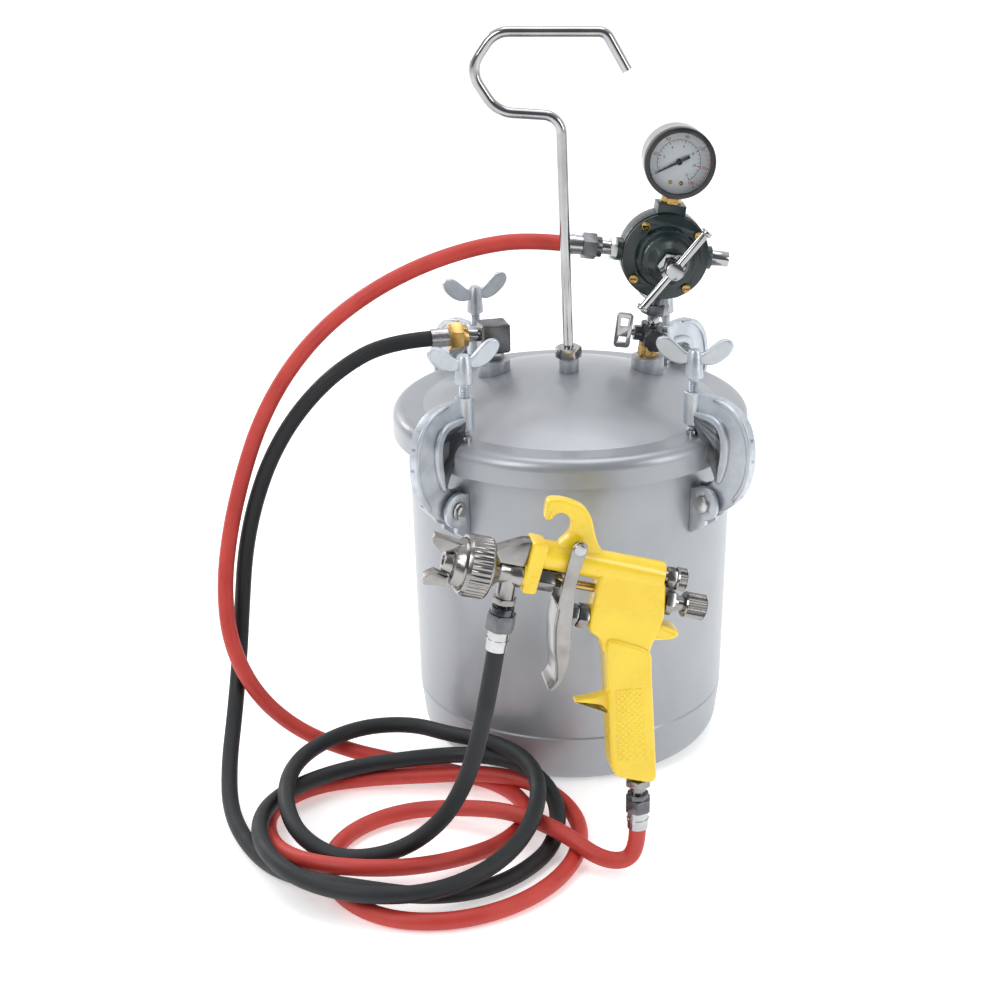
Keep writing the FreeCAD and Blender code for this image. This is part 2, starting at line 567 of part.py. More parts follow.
body = body.cut(cyl(7.6, 12, V(-32, nose_y, 0), X)).cut(cyl(3.06, 46, V(18, nose_y, 0), X))
body = body.cut(cyl(3.6, 30, valve_at - X, X)).cut(cyl(4.0, 20, V(64, air_y, 0), X)).cut(
    cyl(4.5, 14, V(60, nose_y, 0), X))
body = body.cut(cyl(5.0, 16, handle_foot - down * 12, down))
parts["gun_body"] = on_gun(body)

packing_nut = fused(
    cyl(7.6, 10, V(-30, nose_y, 0), X), hexagon(14.5, 12, V(-20, nose_y, 0), X),
    cyl(5.5, 5, V(-8, nose_y, 0), X))
parts["gun_packing_nut"] = on_gun(packing_nut.cut(cyl(3.06, 40, V(-34, nose_y, 0), X)))

needle = fused(cyl(3.0, 43 + 34, V(-29, nose_y, 0), X), cyl(1.2, 52, V(-81, nose_y, 0), X))
parts["gun_needle"] = on_gun(needle.common(box((-90, -60, -9), (56, 0, 9))))

trigger_side = [
    (-1, 5.8), (4.8, 4), (6, -1), (5, -9), (4.6, -18), (5.4, -30), (8, -44), (
        10.4, -57), (14.6, -73), (16, -86),
    (15.2, -97), (11, -105), (6.5, -105), (9.8, -97), (7, -86), (3.4, -78), (-1.5, -60), (-3, -44), (-4.6,
    -20), (-5.4, 0)]
cheek_in, cheek_out = 10.9, 12.9
cheeks = [
    prism([V(x, y, z0)
    for x, y in trigger_side], cheek_out - cheek_in, Z) for z0 in (-cheek_out, cheek_in)]
web_front = [(-3, -44), (-1.5, -60), (3.4, -78), (7, -86), (9.8, -97), (6.5, -105), (9, -105),
(12.6, -97), (9.6, -85.5),
             (6, -77.2), (1.1, -59.4), (-0.6, -44)]
trigger = fused(slab(web_front, cheek_out), *cheeks).cut(cyl(pivot_pin_r + run_gap, 40, V(0, 0, -20)))
parts["gun_trigger"] = on_gun(trigger)
trigger_pin = fused(
    cyl(pivot_pin_r, 2 * 14.2, V(0, 0, -14.2)), cyl(4.2, 1.8, V(0, 0, 13.3)), cyl(4.2, 1.8, V(0, 0, -15.1)))
parts["gun_trigger_pin"] = on_gun(trigger_pin)

valve_nut = fused(
    hexagon(13, 6, valve_at - X * 14, X), hexagon(15, 7, valve_at - X * 7.5, X),
    cyl(5.0, 2, valve_at - X * 8.5, X))
valve_nut = valve_nut.common(box((10.2, -70, -12), (22.95, -30, 12))).cut(
    cyl(2.5 + run_gap, 30, valve_at - X * 20, X))
parts["gun_air_valve_nut"] = on_gun(valve_nut.cut(slab(block, 20)))
valve_len = 38.0
valve_tip = 1.2
valve = fused(cyl(2.5, valve_len, V(valve_tip, valve_at.y, 0), X))
parts["gun_air_valve"] = on_gun(valve.common(box((-5, -70, -5), (valve_tip + 36, -30, 5))))

bushings = fused(
    cyl(4.0, 6, V(66, air_y, 0), X), hexagon(12.5, 6, V(69.4, air_y, 0), X)
).cut(cyl(2.5 + run_gap, 20, V(60, air_y, 0), X))
fluid_bush = fused(
    cyl(4.5, 12, V(61, nose_y, 0), X), hexagon(16.5, 6, V(72.6, nose_y, 0), X),
    cyl(6.5, 3, V(78.6, nose_y, 0), X))
fluid_bush = fluid_bush.cut(cyl(3.4 + run_gap, 30, V(58, nose_y, 0), X))
parts["gun_knob_bushings"] = on_gun(
    Part.makeCompound(
        [
            bushings.cut(slab(block, 20)),
            fluid_bush.cut(slab(block, 20).cut(cyl(4.5, 14, V(60, nose_y, 0), X)))]
    )
)


def knob(r, x0, x1, y):
    """Round knob with small chamfers; its knurling is too fine for a solid."""
    return fused(
        cone(r - 0.8, r, 1.0, V(x0, y, 0), X), cyl(r, x1 - x0 - 2, V(x0 + 1, y, 0), X),
        cone(r, r - 1, 1.0, V(x1 - 1, y, 0), X))


fan_knob = fused(knob(8.0, 75.8, 83.5, air_y), cyl(2.5, 12, V(65, air_y, 0), X))
parts["gun_fan_knob"] = on_gun(fan_knob)
fluid_knob = fused(
    cyl(3.4, 24, V(60, nose_y, 0), X), cyl(5.2, 6, V(82, nose_y, 0), X), knob(9.0, 87, 103, nose_y))
parts["gun_fluid_knob"] = on_gun(fluid_knob)

head_axis = V(0, nose_y, 0)
inlet_lean = V(0.11, -0.994, 0).normalize()
head = fused(
    turned(
        [(0, 0), (9, 0), (9, 3), (7.2, 8), (8.5, 16), (15.5, 22), (15.5, 25), (0, 25)], V(-31, nose_y, 0),
        X * -1),
    slab([(-31, -4), (-36, -5), (-53, -14), (-53, -22), (-31, -22)], 6.0),
    cyl(6.4, 18, V(-39.3, nose_y, 0), inlet_lean), cyl(
        6.4, 12, V(-39.3, nose_y, 0) + inlet_lean * -4, inlet_lean),
    hexagon(15, 4, V(-39.3, nose_y, 0) + inlet_lean * 18, inlet_lean), cyl(4.8, 12,
    V(-39.3, nose_y, 0) + inlet_lean * 21, inlet_lean))
head = head.cut(cyl(2.4, 70, V(-94, nose_y, 0), X)).cut(cyl(2.6, 40, V(-39.3, nose_y, 0), inlet_lean))
nozzle = turned(
    [(2.4, 25), (12.5, 25), (12.5, 36), (7, 42), (3.4, 46), (1.3, 46), (1.3, 40), (2.4, 38)],
    V(-31, nose_y, 0), X * -1)
parts["gun_head"] = on_gun(Part.makeCompound([head, nozzle]))

ring = turned([(15.6, 24), (19.5, 23), (21.3, 25), (21.3, 39), (20, 41.5), (18.2, 41.5), (18.2, 38.5), (19.2, 38.5), (19.2, 27), (15.6, 27)],
              V(-31, nose_y, 0), X * -1)
parts["gun_cap_ring"] = on_gun(ring)
cap = turned([(13.0, 30), (18.9, 30), (18.9, 38.3), (17.8, 38.3), (17.8, 43), (14, 48.5), (8.5, 49), (7, 54.5), (3.6, 54.5), (3.6, 47.5), (7.5, 43), (13.0, 37)],
             V(-31, nose_y, 0), X * -1)
horns = []
for side in (-1, 1):
    points = [(-73, 7.5), (-73, 15), (-95.5, 17.5), (-96, 12.5), (-90, 7.5), (-82, 9.8)]
    horn = prism([V(x, nose_y + side * y, -5.0) for x, y in points], 10, Z)
    horns.append(horn)
cap = fused(cap, *horns).cut(
    turned(
        [(0, 20), (13.0, 20), (13.0, 37), (7.5, 43), (3.6, 47.5), (3.6, 60), (0, 60)], V(-31, nose_y, 0),
        X * -1)
)
parts["gun_air_cap"] = on_gun(cap)

fluid_nut, fluid_ferrule, black_end = hose_end(
    V(-39.3, nose_y, 0) + inlet_lean * 25, inlet_lean, 18.0, 17.0, 15.0)
black_end, black_end_dir = gun_place.multVec(black_end), gun_rotation.multVec(inlet_lean)
air_nipple = fused(cyl(5.0, 12, handle_foot - down * 9, down),
hexagon(17, 5, handle_foot + down * 3.0, down), cyl(5.8, 7, handle_foot + down * 8, down),
                   cyl(4.8, 9, handle_foot + down * 14.9, down)).cut(cyl(2.6, 60, handle_foot - down * 10,
                   down))
parts["gun_air_nipple"] = on_gun(
    air_nipple.cut(slab(handle, 20).cut(cyl(5.0, 16, handle_foot - down * 12, down))))
gun_nut, gun_ferrule, red_end = hose_end(handle_foot + down * 15, down, 17.0, 14.0, 14.0)
red_end, red_end_dir = gun_place.multVec(red_end), gun_rotation.multVec(down)

# ---- shared small parts ----------------------------------------------------
parts["fluid_outlet_nut"] = placed(outlet_nut, elbow_place)
parts["hose_nuts"] = Part.makeCompound([on_stack(air_nut), on_gun(fluid_nut), on_gun(gun_nut)])
parts["hose_ferrules"] = Part.makeCompound([
    placed(outlet_ferrule, elbow_place), on_stack(air_ferrule), on_gun(fluid_ferrule), on_gun(gun_ferrule)])
parts["pipe_nipples"] = Part.makeCompound([
    placed(outlet_nipple, elbow_place), placed(side_nipple, elbow_place), on_stack(air_in),
    on_stack(air_out), on_stack(riser_nipple)])
parts["union_nut"] = on_stack(union_nut)

# ---- hoses -----------------------------------------------------------------
# Both hoses drop to the floor left of the tank and lie there in two loose coils.
fluid_route = [
    (-142.6, -8.5, 328.5), (-180, -16, 309), (-211, -20, 278), (-234, -24, 242), (-249, -30, 203),
    (-258, -37, 163), (-261, -48, 123), (-263, -66, 82), (-264, -96, 50), (-264, -133, 27),
    (-258, -174, 11), (-241, -214, 7), (-217, -251, 8), (-187, -282, 17), (-148, -301, 22),
    (-104, -301, 15), (-63, -285, 9), (-31, -255, 7), (-10, -216, 7), (-9, -174, 21),
    (-37, -142, 34), (-79, -128, 33), (-123, -123, 26), (-167, -127, 21), (-206, -147, 18),
    (-228, -185, 21), (-229, -229, 23), (-212, -270, 24), (-180, -301, 24), (-138, -315, 24),
    (-95, -309, 23), (-58, -284, 25), (-33, -248, 30), (-22, -205, 38), (-28, -162, 43),
    (-57, -130, 44), (-93, -107, 38), (-127, -79, 33), (-168, -81, 31), (-200, -112, 31),
    (-214, -153, 33), (-213, -197, 30), (-197, -237, 24), (-164, -261, 19), (-123, -254, 22),
    (-92, -252, 45), (-74, -257, 80), (-64, -264, 118), (-56.5, -269.8, 155.5)]
air_route = [
    (
        -35.3, 9.65, 405.5
    ), (-74, 3, 401), (-115, -5, 389), (-155, -11, 369), (-191, -17, 342), (-220, -22, 308),
    (-242, -27, 269), (-257, -33, 227), (-268, -42, 184), (-273, -56, 142), (-268, -75, 102),
    (-248, -89, 64), (-216, -89, 32), (-175, -88, 13), (-131, -96, 7), (-88, -112, 7),
    (-49, -133, 7), (-28, -175, 7), (-47, -216, 7), (-80, -247, 12), (-119, -271, 19),
    (-164, -276, 23), (-203, -254, 18), (-224, -214, 10), (-229, -168, 7), (-201, -133, 7),
    (-156, -124, 9), (-111, -127, 13), (-65, -133, 19), (-22, -146, 16), (6, -181, 10),
    (8, -226, 7), (-9, -269, 7), (-40, -302, 7), (-82, -321, 7), (-128, -318, 7),
    (-163, -289, 7), (-178, -245, 7), (-166, -201, 7), (-129, -174, 9), (-83, -177, 14),
    (-42, -197, 22), (-6, -227, 23), (20, -246, 12), (40, -248.5, 10.5), (48.29, -247.55, 23)]


def hose(start, route, end):
    """Rubber hose along its route; the part that hangs rises with the rim."""
    hung = [V(x, y, z + lift * max(0.0, z - 60.0) / 268.0) for x, y, z in route]
    return bent_rod([start] + hung + [end], hose_r)[0]


parts["fluid_hose"] = hose(black_start, fluid_route, black_end)
parts["air_hose"] = hose(red_start, air_route, red_end)

os.makedirs("parts", exist_ok=True)
for name, shape in parts.items():
    shape.exportStep("parts/" + name + ".step")
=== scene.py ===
import json
import math

import bmesh
import bpy
import numpy as np
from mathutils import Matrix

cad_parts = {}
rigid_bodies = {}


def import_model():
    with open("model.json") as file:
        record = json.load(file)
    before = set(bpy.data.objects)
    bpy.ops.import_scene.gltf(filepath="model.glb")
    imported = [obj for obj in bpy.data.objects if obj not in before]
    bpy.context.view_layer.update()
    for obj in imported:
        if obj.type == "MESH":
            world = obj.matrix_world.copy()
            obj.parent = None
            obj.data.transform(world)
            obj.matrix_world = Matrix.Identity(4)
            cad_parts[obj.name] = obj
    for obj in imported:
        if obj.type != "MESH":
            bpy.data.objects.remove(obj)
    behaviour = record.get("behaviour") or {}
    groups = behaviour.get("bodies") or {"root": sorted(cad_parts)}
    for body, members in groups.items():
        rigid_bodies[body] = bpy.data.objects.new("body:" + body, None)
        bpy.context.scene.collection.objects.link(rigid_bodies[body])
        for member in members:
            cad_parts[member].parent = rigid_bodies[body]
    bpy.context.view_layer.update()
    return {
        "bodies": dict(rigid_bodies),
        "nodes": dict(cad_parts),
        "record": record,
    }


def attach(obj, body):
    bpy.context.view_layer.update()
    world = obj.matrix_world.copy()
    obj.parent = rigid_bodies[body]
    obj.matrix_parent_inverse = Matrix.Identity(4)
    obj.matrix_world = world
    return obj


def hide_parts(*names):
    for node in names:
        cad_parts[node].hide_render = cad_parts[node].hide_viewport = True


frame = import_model()
scene = bpy.context.scene
joint = {j["name"]: j for j in frame["record"]["behaviour"]["joints"]}
mm = 0.001

# ---- camera ----------------------------------------------------------------
# A long lens 1.5 m in front of the pot, a little above its lid and looking down.
camera = bpy.data.objects.new("camera", bpy.data.cameras.new("camera"))
scene.collection.objects.link(camera)
camera.location = (0.0, -1.5, 0.790)
camera.rotation_euler = (math.radians(68.31), 0.0, 0.0)
camera.data.lens = 72.2
camera.data.sensor_width = 36.0
camera.data.shift_x = -0.0703
scene.camera = camera


# ---- finishes --------------------------------------------------------------
# Every metal, paint and rubber on the pot has one builder: a broad noise for wear and handling,
# and a fine one for the skin of the casting, the plating, the brushing or the sprayed coat.
def surface(
        name, colours, rough, metallic=0.0, scale=60.0, bump=0.2, depth=0.3, coat=0.0, fine=9.0):
    """One finish: a broad noise picks between two colours and two roughnesses, and one that is
    fine times finer lifts the skin by depth millimetres, at a strength of bump."""
    m = bpy.data.materials.new(name)
    m.use_nodes = True
    n, link = m.node_tree.nodes, m.node_tree.links.new
    shader = n["Principled BSDF"]
    shader.inputs["Metallic"].default_value = metallic
    shader.inputs["Coat Weight"].default_value = coat
    shader.inputs["Coat Roughness"].default_value = 0.12
    where = n.new("ShaderNodeTexCoord")
    noises = []
    for size, detail in ((scale, 6.0), (scale * fine, 3.0)):
        noise = n.new("ShaderNodeTexNoise")
        noise.inputs["Scale"].default_value = size
        noise.inputs["Detail"].default_value = detail
        link(where.outputs["Object"], noise.inputs["Vector"])
        noises.append(noise)
    ramp = n.new("ShaderNodeValToRGB")
    for stop, place, colour in zip(ramp.color_ramp.elements, (0.36, 0.68), colours):
        stop.position = place
        stop.color = (*colour, 1)
    link(noises[0].outputs["Fac"], ramp.inputs["Fac"])
    link(ramp.outputs["Color"], shader.inputs["Base Color"])
    wear = n.new("ShaderNodeMapRange")
    wear.inputs["From Min"].default_value = 0.3
    wear.inputs["From Max"].default_value = 0.7
    wear.inputs["To Min"].default_value = rough[0]
    wear.inputs["To Max"].default_value = rough[1]
    link(noises[0].outputs["Fac"], wear.inputs["Value"])
    link(wear.outputs["Result"], shader.inputs["Roughness"])
    skin = n.new("ShaderNodeBump")
    skin.inputs["Strength"].default_value = bump
    skin.inputs["Distance"].default_value = depth * mm
    link(noises[1].outputs["Fac"], skin.inputs["Height"])
    link(skin.outputs["Normal"], shader.inputs["Normal"])
    return m


silver_paint = surface(
    "silver paint", ((0.315, 0.335, 0.360), (0.365, 0.385, 0.410)), (0.33, 0.45), 0.45, 18.0, 0.25, 0.12,
    coat=0.25, fine=40.0)
zinc_casting = surface(
    "zinc casting", ((0.44, 0.48, 0.53), (0.60, 0.635, 0.68)), (0.30, 0.46), 0.75, 70.0, 0.4, 0.3,
    fine=7.0)
chrome = surface(
    "chrome", ((0.34, 0.345, 0.35), (0.44, 0.44, 0.445)), (0.08, 0.16), 1.0, 45.0, 0.08, 0.1, fine=12.0)
dark_steel = surface(
    "dark steel", ((0.10, 0.105, 0.115), (0.18, 0.18, 0.19)), (0.20, 0.34), 1.0, 90.0, 0.2, 0.15,
    fine=8.0)
bright_steel = surface(
    "bright steel", ((0.42, 0.425, 0.43), (0.55, 0.55, 0.555)), (0.16, 0.30), 1.0, 80.0, 0.2, 0.1)
nickel = surface(
    "nickel plate", ((0.24, 0.232, 0.226), (0.34, 0.328, 0.32)), (0.14, 0.27), 1.0, 60.0, 0.12, 0.1)
brass = surface(
    "brass", ((0.42, 0.27, 0.095), (0.58, 0.40, 0.16)), (0.20, 0.36), 1.0, 85.0, 0.22, 0.12)
green_enamel = surface(
    "black green enamel", ((0.003, 0.012, 0.013), (0.006, 0.020, 0.021)), (0.26, 0.38), 0.0, 55.0, 0.3,
    0.3, coat=0.25)
yellow_enamel = surface(
    "yellow enamel", ((0.80, 0.55, 0.012), (0.86, 0.62, 0.022)), (0.24, 0.36), 0.0, 40.0, 0.28, 0.25,
    coat=0.45)
black_plastic = surface(
    "black plastic", ((0.012, 0.013, 0.015), (0.022, 0.023, 0.026)), (0.28, 0.42), 0.0, 60.0, 0.2, 0.15)
clear_glass = bpy.data.materials.new("gauge glass")
clear_glass.use_nodes = True
glass_shader = clear_glass.node_tree.nodes["Principled BSDF"]
for socket, value in {"Transmission Weight": 1.0, "Roughness": 0.02, "IOR": 1.12}.items():
    glass_shader.inputs[socket].default_value = value
black_rubber = surface(
    "black rubber", ((0.003, 0.005, 0.007), (0.007, 0.010, 0.013)), (0.50, 0.70), 0.0, 35.0, 0.35, 0.4,
    fine=26.0)
red_rubber = surface(
    "red rubber", ((0.45, 0.030, 0.022), (0.54, 0.050, 0.036)), (0.42, 0.62), 0.0, 35.0, 0.30, 0.4,
    fine=26.0)
finish_of = {}
for finish, held_by in (
        (silver_paint, "tank_shell base_pan lid_shell lid_bosses"),
        (zinc_casting, "clamp_brackets"),
        (chrome, "hanger_rod relief_ring adjusting_screw adjusting_bar lock_nuts pipe_nipples "
         "gun_trigger_pin"),
        (dark_steel, "outlet_elbow hose_nuts inlet_cross union_nut"),
        (bright_steel, "clamp_pins hose_ferrules spring_seat gauge_case gauge_dial pickup_tube"),
        (nickel, "gun_head gun_cap_ring gun_air_cap gun_trigger gun_packing_nut gun_air_valve "
         "gun_air_valve_nut gun_fan_knob gun_fluid_knob gun_knob_bushings gun_air_nipple"),
        (brass, "fluid_outlet_nut inlet_nipple bonnet_screws gauge_stem gun_needle"),
        (green_enamel, "regulator_body regulator_bonnet"),
        (yellow_enamel, "gun_body"),
        (black_plastic, "vent_knob gauge_bezel gauge_pointer"),
        (clear_glass, "gauge_glass"),
        (black_rubber, "lid_gasket")):
    for node in held_by.split():
        finish_of[node] = finish
clamp_corners = ("front_left", "front_right", "back_left", "back_right")
for corner in clamp_corners:
    finish_of["clamp_arm_" + corner] = zinc_casting
    finish_of["clamp_pad_" + corner] = bright_steel
    finish_of["clamp_screw_" + corner] = zinc_casting
for node, piece in frame["nodes"].items():
    if node in finish_of:
        for place in piece.material_slots:
            place.material = finish_of[node]


# ---- shared shapes ---------------------------------------------------------
# Sections below draw pressed, cast and turned pieces from these few surfaces, in the millimetres
# of the group they belong to: the gun, the regulator stack or one clamp.
def group(origin, x_axis, z_axis):
    """Row-frame matrix of a group, from its origin in metres and its own X and Z directions."""
    x, z = np.array(x_axis, float), np.array(z_axis, float)
    x, z = x / np.linalg.norm(x), z / np.linalg.norm(z)
    out = np.eye(4)
    out[:3, 0], out[:3, 1], out[:3, 2], out[:3, 3] = x, np.cross(z, x), z, origin
    return out


def rounded(corners, cut, steps=5):
    """Closed outline with each corner replaced by a parabola that starts cut short of it."""
    corners = np.array(corners, float)
    out = []
    for k, corner in enumerate(corners):
        ends = []
        for other in (corners[k - 1], corners[(k + 1) % len(corners)]):
            away = other - corner
            size = np.linalg.norm(away)
            ends.append(corner + away / size * min(cut, 0.48 * size))
        for t in np.linspace(0, 1, steps):
            out.append((1 - t) ** 2 * ends[0] + 2 * t * (1 - t) * corner + t * t * ends[1])
    return np.array(out)


def plate(outline, low, high, edge, order=(0, 1, 2)):
    """Plate between two levels whose rims turn over in quarter circles of radius edge: each ring
    is the outline moved inwards by edge times one minus cosine. order says which axis is which."""
    outline = np.array(outline, float)
    after, before = np.roll(outline, -1, 0), np.roll(outline, 1, 0)
    area = np.sum(outline[:, 0] * after[:, 1] - after[:, 0] * outline[:, 1])
    along = after - before
    along /= np.linalg.norm(along, axis=1)[:, None]
    inward = np.column_stack((-along[:, 1], along[:, 0])) * (1 if area > 0 else -1)
    turn = np.linspace(0, math.pi / 2, 5)
    flat = edge + min(0.5, 0.4 * edge)
    rings = [(flat, low)] + [
        (edge * (1 - math.cos(t)), low + edge * (1 - math.sin(t)))
        for t in turn[::-1]]
    rings += [(edge * (1 - math.cos(t)), high - edge * (1 - math.sin(t))) for t in turn] + [(flat, high)]
    count, points, faces = len(outline), [], []
    for inset, level in rings:
        ring = outline + inward * inset
        points.append(np.column_stack((ring, np.full(count, level))))
    for r in range(len(rings) - 1):
        for k in range(count):
            n = (k + 1) % count
            faces.append((r * count + k, r * count + n, (r + 1) * count + n, (r + 1) * count + k))
    faces.append(tuple(range(count))[::-1])
    faces.append(tuple(range((len(rings) - 1) * count, len(rings) * count)))
    return np.vstack(points)[:, list(np.argsort(order))], faces


def lathe(profile, at, along, steps=48, teeth=0, depth=0.0, toothed=(0.0, 0.0)):
    """Profile of (distance, radius) turned about a line. Between the two toothed distances the
    radius falls by depth times the square of a sine, teeth times around, which makes a knurl."""
    along = np.array(along, float) / np.linalg.norm(along)
    side = np.cross(along, (0.0, 0.0, 1.0) if abs(along[2]) < 0.9 else (1.0, 0.0, 0.0))
    side /= np.linalg.norm(side)
    up = np.cross(along, side)
    angle = np.arange(steps) * 2 * math.pi / steps
    points, faces, rows = [], [], []
    for distance, radius in profile:
        centre = np.array(at, float) + along * distance
        if radius < 1e-6:
            rows.append([len(points)])
            points.append(centre)
            continue
        cut = depth * np.sin(
            angle * teeth / 2) ** 2 if toothed[0] <= distance <= toothed[1] else 0 * angle
        rows.append(list(range(len(points), len(points) + steps)))
        for a, c in zip(angle, cut):
            points.append(centre + (radius - c) * (math.cos(a) * side + math.sin(a) * up))
    for low, high in zip(rows, rows[1:]):
        for k in range(steps):
            n = (k + 1) % steps
            ring = [low[k % len(low)], low[n % len(low)], high[n % len(high)], high[k % len(high)]]
            faces.append(tuple(dict.fromkeys(ring)))
    return np.array(points), faces


def show(name, mesh, node):
    """Puts a mesh in the scene as a piece that rides its node's body."""
    mesh.polygons.foreach_set("use_smooth", [True] * len(mesh.polygons))
    piece = bpy.data.objects.new(name, mesh)
    scene.collection.objects.link(piece)
    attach(piece, node if node in frame["bodies"] else "pot")
    return piece


def draw(node, shells, place, finish, sharp=38.0, name=None):
    """One object from several shells in a group's millimetres. The CAD node is hidden in its place,
    unless the piece has a name of its own; then the node stays shown beside it."""
    points, faces, count = [], [], 0
    for shell, rims in shells:
        points.append(shell)
        faces += [tuple(v + count for v in rim) for rim in rims]
        count += len(shell)
    points = np.vstack(points) * mm @ place[:3, :3].T + place[:3, 3]
    mesh = bpy.data.meshes.new((name or node) + "_shape")
    mesh.from_pydata(points.tolist(), [], faces)
    work = bmesh.new()
    work.from_mesh(mesh)
    bmesh.ops.recalc_face_normals(work, faces=work.faces)
    work.to_mesh(mesh)
    work.free()
    mesh.materials.append(finish)
    piece = show(mesh.name, mesh, node)
    mesh.set_sharp_from_angle(angle=math.radians(sharp))
    if name is None:
        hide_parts(node)


def eased(node, width):
    """A copy of a CAD piece with doubled points merged and its sharp edges rounded to width mm."""
    source = frame["nodes"][node]
    work = bmesh.new()
    work.from_mesh(source.data)
    bmesh.ops.transform(work, matrix=source.matrix_world, verts=work.verts)
    bmesh.ops.remove_doubles(work, verts=work.verts, dist=1e-5)
    bmesh.ops.dissolve_limit(
        work, angle_limit=math.radians(1.0), verts=work.verts, edges=work.edges)
    mesh = bpy.data.meshes.new(node + "_eased")
    work.to_mesh(mesh)
    work.free()
    mesh.materials.append(finish_of[node])
    piece = show(mesh.name, mesh, node)
    bevel = piece.modifiers.new("edges", "BEVEL")
    bevel.width, bevel.segments = width * mm, 2
    bevel.limit_method, bevel.angle_limit = "ANGLE", math.radians(34)
    bevel.harden_normals = True
    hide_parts(node)


gun = group(
    joint["gun_trigger_pull"]["pos_m"], joint["gun_needle_slide"]["axis"],
    joint["gun_trigger_pull"]["axis"])
pointer = joint["gauge_pointer_sweep"]
stack_x, stack_y = -np.array(joint["relief_ring_pull"]["axis"]), np.array(pointer["axis"])
stack = group((0, 0, 0), stack_x, np.cross(stack_x, stack_y))
pointer_level, gauge_height = -8.0, 158.0
pointer_place = np.array([0, pointer_level, gauge_height]) * mm
stack[:3, 3] = np.array(pointer["pos_m"]) - stack[:3, :3] @ pointer_place
clamp_at = {}
for corner in clamp_corners:
    x, y, _ = joint["clamp_swing_" + corner]["pos_m"]
    clamp_at[corner] = group((0, 0, 0), (x, y, 0), (0, 0, 1))

# ---- gun body --------------------------------------------------------------
# The gun's body is one aluminium die casting in yellow enamel: a hook, the barrel block with its
# front flange, a grip with a finger spur, and a tail that keeps the hand off the knobs.
hook = [
    (-28.5, 27), (-21, 29), (-11, 28.7), (
        -1.5, 26.5), (5, 20), (10, 9.5), (15.5, 1), (21, -3.4), (21, -14),
    (-12, -14), (-12.5, -2), (-7.4, 4.5), (-6.3, 10.5), (-9.5, 17), (-15.5, 20.2), (-20.5, 18), (-22, 13),
    (-27, 12.3)]
block = [
    (20, -12), (67, -12), (74, -36), (
        74.2, -52), (71.5, -62), (72.5, -74), (38, -74), (34.5, -63), (24, -60),
    (22, -40)]
handle = [(36.5, -60), (71.8, -64), (75.5, -77), (106, -164), (71.5, -163.5), (54, -111), (47, -91)]
spur = [
    (52, -103), (48.6, -106), (41, -110), (31.5, -113), (31.3, -115.5), (50.5, -114), (60, -121),
    (62, -108)]
tail = [(68, -44.5), (86, -47), (89, -50.5), (86, -54.5), (68, -59)]
flange = [(-20, -3), (-31, -2.7), (-29.5, -39.5), (-20, -39)]
barrel = [(0, 6), (0, 9), (1, 10), (93.5, 10), (94.6, 9.6), (95, 8.6), (95, 0)]
barrel_axis, needle_axis = -12.5, -30.0
draw("gun_body", [
    plate(rounded(hook, 3.5), -5.0, 5.0, 1.8), plate(rounded(block, 6.0), -9.0, 9.0, 3.2),
    plate(rounded(handle, 9.0), -11.5, 11.5, 2.5), plate(rounded(spur, 2.5), -4.0, 4.0, 0.8),
    plate(rounded(tail, 3.0), -7.5, 7.5, 1.6), plate(rounded(flange, 2.0), -10.0, 10.0, 0.9),
    lathe(barrel, (-29, barrel_axis, 0), (1, 0, 0)),
    lathe([(0, 7.6), (0, 9.2), (0.8, 10), (10, 10)], (-31, -28.5, 0), (1, 0, 0))], gun, yellow_enamel)


def diamonds(corners, level, side, wide_count, tall_count, rise):
    """A four-cornered patch lifted by rise times the product of two crossed sines, which stands
    as rows of small diamonds; its border is sunk just under the casting."""
    steps = 8
    wide, tall = wide_count * steps, tall_count * steps
    u, v = np.meshgrid(np.linspace(0, 1, wide + 1), np.linspace(0, 1, tall + 1))
    c = np.array(corners, float)
    flat = ((1 - u) * (1 - v))[..., None] * c[0] + (u * (1 - v))[..., None] * c[1]
    flat = flat + ((1 - u) * v)[..., None] * c[2] + (u * v)[..., None] * c[3]
    p, q = u * wide_count + v * tall_count, u * wide_count - v * tall_count
    lift = rise * np.abs(np.sin(math.pi * p / 2) * np.sin(math.pi * q / 2)) ** 0.7
    border = (u == 0) | (u == 1) | (v == 0) | (v == 1)
    height = np.where(border, level - 0.4, level + lift)
    points = np.dstack((flat, side * height)).reshape(-1, 3)
    faces = []
    for r in range(tall):
        for k in range(wide):
            a = r * (wide + 1) + k
            faces.append((a, a + 1, a + wide + 2, a + wide + 1))
    return points, faces


grip_panel = [(54.5, -97), (73, -92), (71.5, -150), (92, -145)]
draw(
    "gun_body", [diamonds(grip_panel, 11.45, side, 9, 26, 0.45) for side in (-1, 1)], gun, yellow_enamel,
    sharp=80, name="gun_grip_panels")

# ---- gun trigger -----------------------------------------------------------
# A trigger pressed from plate into a channel: two cheeks over the body and a web that the fingers
# pull, nickel plated.
trigger_side = [
    (-1, 5.8), (4.8, 4), (6, -1), (5, -9), (4.6, -18), (5.4, -30), (8, -44), (
        10.4, -57), (14.6, -73), (16, -86),
    (
        15.2, -97
    ), (11, -105), (6.5, -105), (9.8, -97), (7, -86), (3.4, -78), (-1.5, -60), (-3, -44), (-4.6, -20),
    (-5.4, 0)]
trigger_web = [
    (-3, -44), (-1.5, -60), (3.4, -78), (7, -86), (9.8, -97), (6.5, -105), (9, -105), (12.6, -97), (
        9.6, -85.5),
    (6, -77.2), (1.1, -59.4), (-0.6, -44)]
draw("gun_trigger", [
    plate(
        rounded(trigger_side, 3.0), -12.9, -10.9, 0.7
    ), plate(rounded(trigger_side, 3.0), 10.9, 12.9, 0.7),
    plate(rounded(trigger_web, 3.0), -12.9, 12.9, 0.6)], gun, nickel)

